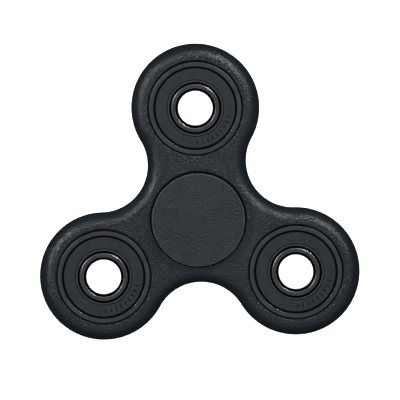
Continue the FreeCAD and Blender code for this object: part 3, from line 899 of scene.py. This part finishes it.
@dataclass(frozen=True)
class Seal:
    """A rubber seal round its steel washer: snap rim, face with plain ticks, bead and lip."""

    sizes: BearingSizes
    sink: float = 0.25 * MM
    rim_width: float = 0.5 * MM
    rim_drop: float = 0.42 * MM
    rim_slope: float = 0.12 * MM
    lip_gap: float = 0.07 * MM
    lip_lean: float = 0.4 * MM
    bead_width: float = 0.32 * MM
    bead_height: float = 0.06 * MM
    furrow_width: float = 0.2 * MM
    furrow_depth: float = 0.12 * MM
    core_thick: float = 0.25 * MM
    core_cover: float = 0.5 * MM
    tick_count: int = 9
    tick_span: float = math.radians(72)
    tick_start: float = math.radians(-88)
    tick_length: float = 0.95 * MM
    tick_width: float = 0.24 * MM
    tick_depth: float = 0.16 * MM
    tick_slope: float = 0.04 * MM

    def outline(self) -> tuple[list[Rim], float, float]:
        """The seal's section, and the radii between which its ticks lie."""
        s = self.sizes
        face = s.half_width - self.sink
        rim = face - self.rim_drop
        edge = s.snap - s.snap_play
        face_edge = s.seat - self.rim_width
        lip = s.land + self.lip_gap
        bead_in = lip + self.lip_lean
        bead_out = bead_in + self.bead_width
        furrow_out = bead_out + self.furrow_width
        core_in = bead_in + self.core_cover
        core_out = s.seat - self.core_cover
        core_top = s.ledge + self.core_thick
        tick_in = (furrow_out + face_edge - self.tick_length) / 2
        tick_out = tick_in + self.tick_length
        corners = [
            Corner(lip, s.ledge),
            Corner(lip, core_top, 0.06 * MM),
            Corner(bead_in, face + self.bead_height, 0.09 * MM),
            Corner(bead_out, face + self.bead_height, 0.09 * MM),
            Corner(bead_out + self.bead_height, face - self.furrow_depth, 0.05 * MM),
            Corner(furrow_out - self.bead_height, face - self.furrow_depth, 0.05 * MM),
            Corner(furrow_out, face, 0.06 * MM),
            Corner(tick_in, face, 0.0),
            Corner(tick_out, face, 0.0),
            Corner(face_edge, face, 0.12 * MM),
            Corner(face_edge + self.rim_slope, rim, 0.08 * MM),
            Corner(edge, rim, 0.06 * MM),
            Corner(edge, s.ledge, 0.06 * MM),
            Corner(core_out, s.ledge),
            Corner(core_out, core_top),
            Corner(core_in, core_top),
            Corner(core_in, s.ledge),
        ]
        return rounded(corners), tick_in, tick_out

    def tick_angles(self) -> list[float]:
        """The directions of the ticks."""
        step = self.tick_span / (self.tick_count - 1)
        return [self.tick_start + step * i for i in range(self.tick_count)]

    def mesh(self) -> bmesh.types.BMesh:
        """Builds the seal for the upper face, in the bearing's frame."""
        outline, tick_in, tick_out = self.outline()
        half = self.tick_width / (tick_in + tick_out)
        edges = [angle + side * half for angle in self.tick_angles() for side in (-1, 1)]
        circle = 2 * math.pi
        spacing = circle / 144
        edges = sorted(angle % circle for angle in edges)
        free = [a for a in even_angles(144) if all(abs(a - e) > spacing * 0.45 for e in edges)]
        mesh = turned(outline, angles=sorted(free + edges))
        self.press_ticks(mesh, tick_in, tick_out)
        return mesh

    def press_ticks(self, mesh: bmesh.types.BMesh, tick_in: float, tick_out: float) -> None:
        """Sinks the faces that are ticks into the seal's face.

        Args:
            mesh: the seal.
            tick_in: inner radius of the ticks.
            tick_out: outer radius of the ticks.
        """
        middle = (tick_in + tick_out) / 2
        mesh.normal_update()
        ticks = []
        for face in mesh.faces:
            spot = face.calc_center_median()
            if abs(spot.xy.length - middle) > self.tick_length * 0.2 or face.normal.z < 0.9:
                continue
            angle = math.atan2(spot.y, spot.x)
            if any(abs(angle - tick) < 1e-3 for tick in self.tick_angles()):
                ticks.append(face)
        made = bmesh.ops.inset_individual(
            mesh, faces=ticks, thickness=self.tick_slope, depth=-self.tick_depth
        )
        facet = mesh.faces.layers.int[FACET]
        for face in [*made["faces"], *ticks]:
            face[facet] = 1


class Bearing:
    """One bearing: the pieces that show are built here, and those inside keep their CAD shape."""

    def __init__(self, station: Station, sizes: BearingSizes) -> None:
        """Settles where the bearing is."""
        self.station = station
        self.sizes = sizes

    def place(
        self, mesh: bmesh.types.BMesh, node: str, assembly: Assembly, side: Side = Side.UPPER
    ) -> None:
        """Puts a mesh at the bearing's middle, in place of a CAD node.

        Args:
            mesh: the piece in the bearing's frame, drawn for the upper face.
            node: the CAD node that it stands for.
            assembly: what joins it to the frame.
            side: the face that it belongs to.
        """
        piece = finished(mesh, f"{node}_shown", self.station.middle, side.turn)
        assembly.stand_for(piece, node)

    def build(self, assembly: Assembly) -> None:
        """Builds and dresses every piece of the bearing."""
        name = self.station.value
        self.place(OuterRing(self.sizes).mesh(), f"{name}_outer_ring", assembly)
        self.place(InnerRing(self.sizes).mesh(), f"{name}_inner_ring", assembly)
        assembly.keep(f"{name}_cage")
        assembly.keep(f"{name}_balls")
        for side in Side:
            if self.station is Station.CENTRE:
                assembly.keep(f"{name}_{side.value}_shield")
                assembly.keep(f"{name}_{side.value}_shield_clip")
            else:
                self.place(Seal(self.sizes).mesh(), f"{name}_{side.value}_seal", assembly, side)
                assembly.keep(f"{name}_{side.value}_seal_core")


# --- Body ----------------------------------------------------------------------------------------


@dataclass(frozen=True)
class Section:
    """A line that runs all round the body: its distance outside the outline, and its height."""

    offset: float
    height: float
    out: float
    up: float


@dataclass(frozen=True)
class Body:
    """The moulded body: lobes and necks in one outline, rounded edges, a mould seam and seats."""

    edge_round: float = 3.0 * MM
    seat_bevel: float = 0.34 * MM
    bevel_rounding: float = 0.25 * MM
    seat_lip: float = 0.25 * MM
    seam_height: float = 0.05 * MM
    seam_width: float = 0.14 * MM
    lobe_steps: int = 112
    neck_steps: int = 44
    edge_steps: int = 12
    seat_steps: int = 160
    mesh_spacing: float = 1.1 * MM
    node: str = "spinner_body"

    def outline(self, reach: float, lobe: float) -> list[tuple[Vector, Vector]]:
        """Walks round the outline, lobe by lobe and neck by neck.

        Args:
            reach: distance of a lobe's centre from the spin axis. The necks' centres are as far out.
            lobe: radius of a lobe.

        Returns:
            Points in order, each with its outward direction.
        """
        neck = reach - lobe
        points = []
        for arm in (90, 210, 330):
            turn = math.radians(arm)
            middle = Vector((math.cos(turn), math.sin(turn), 0)) * reach
            start = turn - math.radians(120)
            for step in range(self.lobe_steps):
                angle = start + math.radians(240) * step / self.lobe_steps
                out = Vector((math.cos(angle), math.sin(angle), 0))
                points.append((middle + out * lobe, out))
            turn += math.radians(60)
            middle = Vector((math.cos(turn), math.sin(turn), 0)) * reach
            start = turn + math.radians(240)
            for step in range(self.neck_steps):
                angle = start - math.radians(120) * step / self.neck_steps
                into = Vector((math.cos(angle), math.sin(angle), 0))
                points.append((middle + into * neck, -into))
        return points

    def sections(self, half: float) -> list[Section]:
        """The lines from the upper face, over the rounded edge, down the side and under."""
        centre = half - self.edge_round
        upper = []
        for step in range(self.edge_steps + 1):
            angle = math.radians(90) * step / self.edge_steps
            upper.append(
                Section(
                    self.edge_round * (math.sin(angle) - 1),
                    centre + self.edge_round * math.cos(angle),
                    math.sin(angle),
                    math.cos(angle),
                )
            )
        slope = math.sqrt(0.5)
        upper += [
            Section(0.0, self.seam_width, 1.0, 0.0),
            Section(self.seam_height * 0.4, self.seam_width * 0.62, slope, slope),
            Section(self.seam_height, self.seam_width * 0.3, 1.0, 0.0),
        ]
        return upper + [Section(s.offset, -s.height, s.out, -s.up) for s in reversed(upper)]

    def seat_wall(self, seat: float, half: float) -> list[Rim]:
        """The wall of a bearing seat, from the lower face up to the upper face."""
        mouth = seat + self.seat_bevel
        upper = [
            Corner(seat, half - self.seat_bevel, self.bevel_rounding),
            Corner(mouth, half, self.bevel_rounding),
            Corner(mouth + self.seat_lip, half),
        ]
        return rounded([*mirrored(upper), *upper], closed=False)

    def add_walls(
        self, mesh: bmesh.types.BMesh, columns: Sequence[Sequence[bmesh.types.BMVert]]
    ) -> None:
        """Joins neighbouring columns of vertices, and the last to the first, with faces."""
        for j, column in enumerate(columns):
            following = columns[(j + 1) % len(columns)]
            for i in range(len(column) - 1):
                mesh.faces.new((column[i], column[i + 1], following[i + 1], following[i]))

    def add_flat(
        self,
        mesh: bmesh.types.BMesh,
        loops: Sequence[Sequence[bmesh.types.BMVert]],
        inside: Callable[[Vector], bool],
        upwards: bool,
    ) -> None:
        """Fills a flat face between its edges with even triangles.

        Args:
            mesh: the body.
            loops: the vertices of the outline and of each seat's mouth, at the face's height.
            inside: says whether a point of the plane belongs to the face.
            upwards: whether the face looks up.
        """
        height = loops[0][0].co.z
        direction = Vector((0, 0, 1.0 if upwards else -1.0))
        known = [vertex for loop in loops for vertex in loop]
        edges = []
        for loop in loops:
            first = len(edges)
            edges += [(first + i, first + (i + 1) % len(loop)) for i in range(len(loop))]
        low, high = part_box(self.node)
        row_height = self.mesh_spacing * math.sqrt(0.75)
        fillers = []
        for row in range(math.ceil((high.y - low.y) / row_height)):
            y = low.y + row * row_height
            for column in range(math.ceil((high.x - low.x) / self.mesh_spacing)):
                spot = Vector((low.x + (column + 0.5 * (row % 2)) * self.mesh_spacing, y))
                clear = all((vertex.co.xy - spot).length > self.mesh_spacing * 0.6 for vertex in known)
                if inside(spot) and clear:
                    fillers.append(spot)
        flat = [vertex.co.xy for vertex in known] + fillers
        spots, _, triangles, origins, _, _ = delaunay_2d_cdt(flat, edges, [], 0, 1e-9)
        vertices = []
        for spot, origin in zip(spots, origins):
            source = origin[0] if origin else len(known)
            if source < len(known):
                vertices.append(known[source])
            else:
                vertices.append(add_point(mesh, Vector((spot.x, spot.y, height)), direction))
        for triangle in triangles:
            middle = sum((spots[i] for i in triangle), Vector((0, 0))) / len(triangle)
            if inside(middle):
                order = triangle if upwards else list(reversed(triangle))
                mesh.faces.new([vertices[i] for i in order])

    def mesh(self) -> bmesh.types.BMesh:
        """Builds the body about the spin axis, with its middle plane at height 0."""
        low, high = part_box(self.node)
        half = (high.z - low.z) / 2
        ring_low, ring_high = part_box(f"{Station.ARM_1.value}_outer_ring")
        reach = Station.ARM_1.middle.y
        seat = (ring_high.x - ring_low.x) / 2
        lobe = round((high.y - self.seam_height - reach) / MM, 1) * MM
        outline = self.outline(reach, lobe)
        sections = self.sections(half)
        mesh = new_mesh()
        around = [
            [
                add_point(
                    mesh,
                    point + out * s.offset + Vector((0, 0, s.height)),
                    out * s.out + Vector((0, 0, s.up)),
                )
                for s in sections
            ]
            for point, out in outline
        ]
        self.add_walls(mesh, around)
        wall = self.seat_wall(seat, half)
        middles = [Vector((0, 0, 0))] + [Vector((*arm.middle.xy, 0)) for arm in ARMS]
        seats = []
        for middle in middles:
            columns = []
            for angle in even_angles(self.seat_steps):
                across = Vector((math.cos(angle), math.sin(angle), 0))
                columns.append(
                    [
                        add_point(
                            mesh,
                            middle + across * rim.radius + Vector((0, 0, rim.height)),
                            across * rim.out + Vector((0, 0, rim.up)),
                        )
                        for rim in wall
                    ]
                )
            self.add_walls(mesh, columns)
            seats.append(columns)
        mouth = wall[-1].radius
        neck_middles = [
            Vector((math.cos(a), math.sin(a))) * reach for a in (math.radians(d) for d in (30, 150, 270))
        ]
        inset_neck = reach - lobe + self.edge_round
        inset_lobe = lobe - self.edge_round
        between_arms = reach * math.cos(math.radians(30)) + self.mesh_spacing * 0.05
        edge_directions = [Vector((math.cos(a), math.sin(a))) for a in even_angles(6)]

        def inside(spot: Vector) -> bool:
            """Whether a point of the plane lies on the flat face."""
            if any((spot - middle.xy).length < mouth - 1e-7 for middle in middles):
                return False
            if any((spot - middle.xy).length < inset_lobe for middle in middles[1:]):
                return True
            if any((spot - middle).length < inset_neck for middle in neck_middles):
                return False
            return all(spot.dot(across) < between_arms for across in edge_directions)

        for end, upwards in ((0, True), (-1, False)):
            loops = [[column[end] for column in around]]
            loops += [[column[-1 - end] for column in columns] for columns in seats]
            self.add_flat(mesh, loops, inside, upwards)
        bmesh.ops.recalc_face_normals(mesh, faces=mesh.faces)
        return mesh

    def build(self, assembly: Assembly) -> None:
        """Builds and dresses the body."""
        place = Vector((0, 0, Station.CENTRE.middle.z))
        piece = finished(self.mesh(), f"{self.node}_shown", place, Matrix.Identity(4))
        assembly.stand_for(piece, self.node)


# --- Caps ----------------------------------------------------------------------------------------


@dataclass(frozen=True)
class FingerCap:
    """A finger cap: a flat pad, a boss and a plug. The upper has a peg and the lower its socket."""

    side: Side
    sizes: BearingSizes
    pad_radius: float = 10.875 * MM
    pad_thick: float = 2.4 * MM
    pad_gap: float = 0.5 * MM
    face_rounding: float = 0.3 * MM
    under_rounding: float = 0.2 * MM
    boss_inset: float = 0.4 * MM
    plug_tip: float = 0.15 * MM
    plug_bevel: float = 0.4 * MM
    peg_radius: float = 2.0 * MM
    peg_reach: float = 2.6 * MM
    peg_bevel: float = 0.3 * MM
    socket_room: float = 0.25 * MM
    slit_width: float = 0.7 * MM
    slit_depth: float = 2.4 * MM
    plug_play: float = 0.02 * MM
    guard: float = 0.12 * MM

    def outline(self) -> list[Rim]:
        """The cap's half section from the middle of its face to the middle of its tip."""
        s = self.sizes
        under = s.half_width + self.pad_gap
        face = under + self.pad_thick
        boss = s.land - self.boss_inset
        plug = s.bore - self.plug_play
        corners = [
            Corner(0.0, face),
            Corner(self.pad_radius - self.face_rounding - self.guard, face, 0.0),
            Corner(self.pad_radius, face, self.face_rounding),
            Corner(self.pad_radius, under, self.under_rounding),
            Corner(self.pad_radius - self.under_rounding - self.guard, under, 0.0),
            Corner(boss, under, 0.1 * MM),
            Corner(boss, s.half_width, 0.05 * MM),
            Corner(plug, s.half_width, 0.05 * MM),
            Corner(plug, self.plug_tip + self.plug_bevel, 0.08 * MM),
            Corner(plug - self.plug_bevel, self.plug_tip, 0.08 * MM),
            Corner(self.peg_radius, self.plug_tip, 0.05 * MM),
        ]
        if self.side is Side.UPPER:
            corners += [
                Corner(self.peg_radius, self.peg_bevel - self.peg_reach, 0.06 * MM),
                Corner(self.peg_radius - self.peg_bevel, -self.peg_reach, 0.06 * MM),
                Corner(0.0, -self.peg_reach),
            ]
        else:
            bottom = self.peg_reach + self.socket_room
            corners += [Corner(self.peg_radius, bottom, 0.05 * MM), Corner(0.0, bottom)]
        return rounded(corners, closed=False)

    def cut_slits(self, piece: bpy.types.Object) -> None:
        """Cuts the two crossed slits that let the lower plug spring.

        Args:
            piece: the cap as an object. Its mesh is changed.
        """
        cutter = bmesh.new()
        across = 2 * self.sizes.bore
        for width, length in ((across, self.slit_width), (self.slit_width, across)):
            scale = Matrix.Diagonal((width * 1.1, length, 2 * self.slit_depth, 1.0))
            bmesh.ops.create_cube(cutter, size=1.0, matrix=scale)
        data = bpy.data.meshes.new("slits")
        cutter.to_mesh(data)
        cutter.free()
        tool = bpy.data.objects.new("slits", data)
        bpy.context.scene.collection.objects.link(tool)
        tool.matrix_world = piece.matrix_world
        cut = piece.modifiers.new("slits", "BOOLEAN")
        cut.operation = "DIFFERENCE"
        cut.solver = "EXACT"
        cut.use_self = True
        cut.object = tool
        bpy.context.view_layer.update()
        graph = bpy.context.evaluated_depsgraph_get()
        whole = piece.data
        piece.data = bpy.data.meshes.new_from_object(piece.evaluated_get(graph))
        piece.modifiers.clear()
        bpy.data.objects.remove(tool)
        bpy.data.meshes.remove(data)
        bpy.data.meshes.remove(whole)

    def build(self, assembly: Assembly) -> None:
        """Builds and dresses the cap."""
        node = f"{self.side.value}_cap"
        mesh = turned(self.outline(), closed=False)
        piece = finished(mesh, f"{node}_shown", Station.CENTRE.middle, self.side.turn)
        if self.side is Side.LOWER:
            self.cut_slits(piece)
            piece.data.shade_smooth()
            piece.data.set_sharp_from_angle(angle=math.radians(32))
        assembly.stand_for(piece, node)


# --- Studio --------------------------------------------------------------------------------------


@dataclass(frozen=True)
class Softbox:
    """A square soft light aimed at the spinner."""

    name: str
    bearing: float
    from_zenith: float
    distance: float
    size: float
    power: float
    colour: tuple[float, float, float] = (1.0, 1.0, 1.0)

    def build(self, target: Vector) -> None:
        """Hangs the light over the target."""
        turn, lean = math.radians(self.bearing), math.radians(self.from_zenith)
        away = Vector(
            (math.cos(turn) * math.sin(lean), math.sin(turn) * math.sin(lean), math.cos(lean))
        )
        data = bpy.data.lights.new(self.name, "AREA")
        data.shape = "SQUARE"
        data.size = self.size
        data.energy = self.power
        data.color = self.colour
        light = bpy.data.objects.new(self.name, data)
        light.location = target + away * self.distance
        light.rotation_mode = "QUATERNION"
        light.rotation_quaternion = away.to_track_quat("Z", "Y")
        bpy.context.scene.collection.objects.link(light)
        LOG.info("%s hung", self.name)


def disc(radius: float) -> bmesh.types.BMesh:
    """A flat round face that looks up."""
    outline = [Rim(0.0, 0.0, 0.0, 1.0), Rim(radius, 0.0, 0.0, 1.0)]
    return turned(outline, closed=False, angles=even_angles(48))


@dataclass(frozen=True)
class Studio:
    """A white card sweep, soft lights and a camera that looks almost straight down."""

    camera_distance: float = 1.5
    lean: float = math.radians(3.8)
    view_width: float = 93.58 * MM
    aim_x: float = 0.52 * MM
    aim_y: float = 4.49 * MM
    roll: float = math.radians(-1.55)
    sensor: float = 36.0
    sweep_radius: float = 2.6
    sweep_flat: float = 1.9
    card_glow: float = 1.6
    card_colour: tuple[float, float, float] = (0.8, 0.8, 0.8)
    table_colour: tuple[float, float, float] = (0.05, 0.05, 0.05)
    panel_radius: float = 7 * MM
    card_level: float = -0.02 * MM
    panel_level: float = -0.04 * MM
    table_level: float = -0.05 * MM
    room: tuple[float, float, float] = (0.04, 0.044, 0.048)
    ceiling: tuple[float, float, float] = (0.5, 0.533, 0.58)
    ceiling_from: float = math.radians(52)
    ceiling_full: float = math.radians(15)

    def card(self) -> bpy.types.Material:
        """White card that glows a little, as it does when it is lit from behind."""
        bench = Bench("white_card")
        place = bench.coords.outputs["Object"]
        fibres = bench.noise(place, 0.4 * MM, 3.0)
        bench.set(
            Base_Color=self.card_colour,
            Roughness=bench.ranged(fibres, 0.3, 0.7, 0.85, 0.95),
            Emission_Color=(1.0, 1.0, 1.0),
            Emission_Strength=self.card_glow,
        )
        return bench.material

    def sweep(self) -> None:
        """Lays the card under the spinner and curves it up and over, as one seamless cove."""
        steps = 28
        outline = [Rim(0.0, 0.0, 0.0, 1.0), Rim(self.sweep_flat, 0.0, 0.0, 1.0)]
        for step in range(1, steps):
            angle = math.radians(90) * step / steps
            radius = self.sweep_flat + (self.sweep_radius - self.sweep_flat) * math.sin(angle)
            height = (self.sweep_radius - self.sweep_flat) * (1 - math.cos(angle))
            outline.append(Rim(radius, height, -math.sin(angle), math.cos(angle)))
        top = outline[-1].height
        for step in range(steps):
            angle = math.radians(90) * step / steps
            radius, height = self.sweep_radius * math.cos(angle), top + self.sweep_radius * math.sin(angle)
            outline.append(Rim(radius, height, -math.cos(angle), -math.sin(angle)))
        outline.append(Rim(0.0, top + self.sweep_radius, 0.0, -1.0))
        mesh = turned(outline, closed=False, angles=even_angles(96))
        card = finished(mesh, "card_sweep", Vector((0, 0, self.card_level)), Matrix.Identity(4))
        card.data.materials.append(self.card())
        card.visible_diffuse = False
        card.visible_glossy = False
        card.visible_shadow = False

    def surroundings(self) -> None:
        """A dim room with a soft bright ceiling, which lights the flat faces."""
        world = bpy.data.worlds.new("room")
        world.use_nodes = True
        tree = world.node_tree
        background = next(n for n in tree.nodes if n.type == "BACKGROUND")
        coords = tree.nodes.new("ShaderNodeTexCoord")
        parts = tree.nodes.new("ShaderNodeSeparateXYZ")
        share = tree.nodes.new("ShaderNodeMapRange")
        mix = tree.nodes.new("ShaderNodeMix")
        share.interpolation_type = "SMOOTHSTEP"
        share.inputs["From Min"].default_value = math.cos(self.ceiling_from)
        share.inputs["From Max"].default_value = math.cos(self.ceiling_full)
        mix.data_type = "RGBA"
        mix.inputs[6].default_value = (*self.room, 1.0)
        mix.inputs[7].default_value = (*self.ceiling, 1.0)
        tree.links.new(coords.outputs["Generated"], parts.inputs[0])
        tree.links.new(parts.outputs[2], share.inputs["Value"])
        tree.links.new(share.outputs["Result"], mix.inputs["Factor"])
        tree.links.new(mix.outputs[2], background.inputs["Color"])
        bpy.context.scene.world = world

    def table(self) -> None:
        """Lays a plain dark table under the card, which is what a gloss shows of the floor."""
        level = Vector((0, 0, self.table_level))
        table = finished(disc(self.sweep_flat), "table", level, Matrix.Identity(4))
        bench = Bench("dark_table")
        fibres = bench.noise(bench.coords.outputs["Object"], 0.4 * MM, 3.0)
        bench.set(Base_Color=self.table_colour, Roughness=bench.ranged(fibres, 0.3, 0.7, 0.85, 0.95))
        table.data.materials.append(bench.material)
        table.visible_camera = False
        table.visible_shadow = False

    def panel(self, under: Station) -> None:
        """Sets a small light panel over the table under a bore, whose wall reflects it."""
        place = Vector((*under.middle.xy, self.panel_level))
        name = f"{under.value}_light_panel"
        panel = finished(disc(self.panel_radius), name, place, Matrix.Identity(4))
        panel.data.materials.append(self.card())
        panel.visible_camera = False
        panel.visible_diffuse = False
        panel.visible_shadow = False

    def camera(self, target: Vector) -> None:
        """Hangs the camera high over the spinner, leaning a little and turned about its line of sight."""
        data = bpy.data.cameras.new("camera")
        data.sensor_width = self.sensor
        data.lens = self.sensor * self.camera_distance / self.view_width
        data.clip_end = 10.0
        camera = bpy.data.objects.new("camera", data)
        turn = Matrix.Rotation(self.roll, 4, "Z") @ Matrix.Rotation(-self.lean, 4, "X")
        aim = Vector((self.aim_x, self.aim_y, target.z))
        camera.matrix_world = Matrix.Translation(aim + turn @ Vector((0, 0, self.camera_distance))) @ turn
        bpy.context.scene.collection.objects.link(camera)
        bpy.context.scene.camera = camera

    def build(self) -> None:
        """Sets up the whole studio."""
        _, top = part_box("spinner_body")
        target = Vector((0.0, 0.0, top.z))
        self.sweep()
        self.surroundings()
        self.table()
        for arm in ARMS:
            self.panel(arm)
        Softbox("left_softbox", 152, 42, 0.55, 0.1, 0.95).build(target)
        Softbox("right_softbox", 53, 41, 0.55, 0.1, 1.2).build(target)
        Softbox("back_softbox", 100, 41, 0.6, 0.3, 0.08).build(target)
        self.camera(target)
        bpy.context.scene.view_settings.view_transform = "Standard"


def main() -> None:
    """Builds every sub-assembly in order and reports its pieces."""
    logging.basicConfig(level=logging.INFO, format="%(message)s")
    sizes = BearingSizes()
    assembly = Assembly(Finishes())
    Body().build(assembly)
    for station in Station:
        Bearing(station, sizes).build(assembly)
    for side in Side:
        FingerCap(side, sizes).build(assembly)
    Studio().build()


if __name__ == "__main__":
    main()
